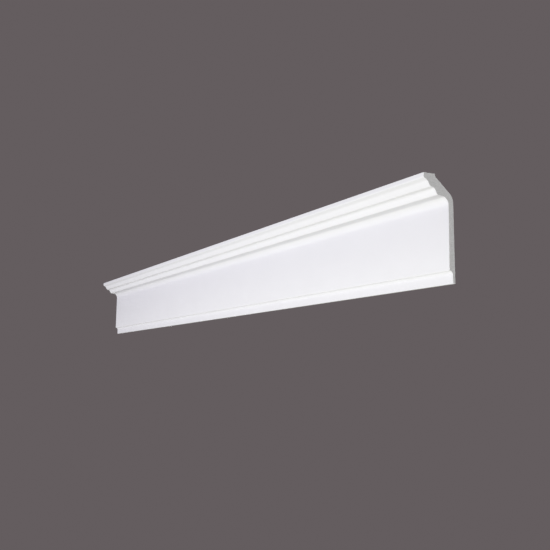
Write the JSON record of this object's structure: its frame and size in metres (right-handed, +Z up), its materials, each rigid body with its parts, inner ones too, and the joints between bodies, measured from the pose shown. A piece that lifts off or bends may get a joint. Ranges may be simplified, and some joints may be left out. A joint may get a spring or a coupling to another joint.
{
  "type": "cornice moulding",
  "caption": "Straight length of white foam cornice moulding with a stepped crown, broad hollow, plain fascia and thin lower band, cut square at both ends.",
  "frame": {"origin": "middle of the flat on the lower back that is glued to the wall, half way along the run", "axes": "+X along the run, +Y into the wall, +Z up to the ceiling"},
  "size_m": [1.5, 0.051, 0.15],
  "materials": {
    "smooth_skin": "smooth white primed skin, satin to matt; the foam core that shows on the sawn ends is light grey and finely grained"
  },
  "bodies": {
    "root": {"cornice_moulding": "smooth_skin"}
  },
  "joints": []
}
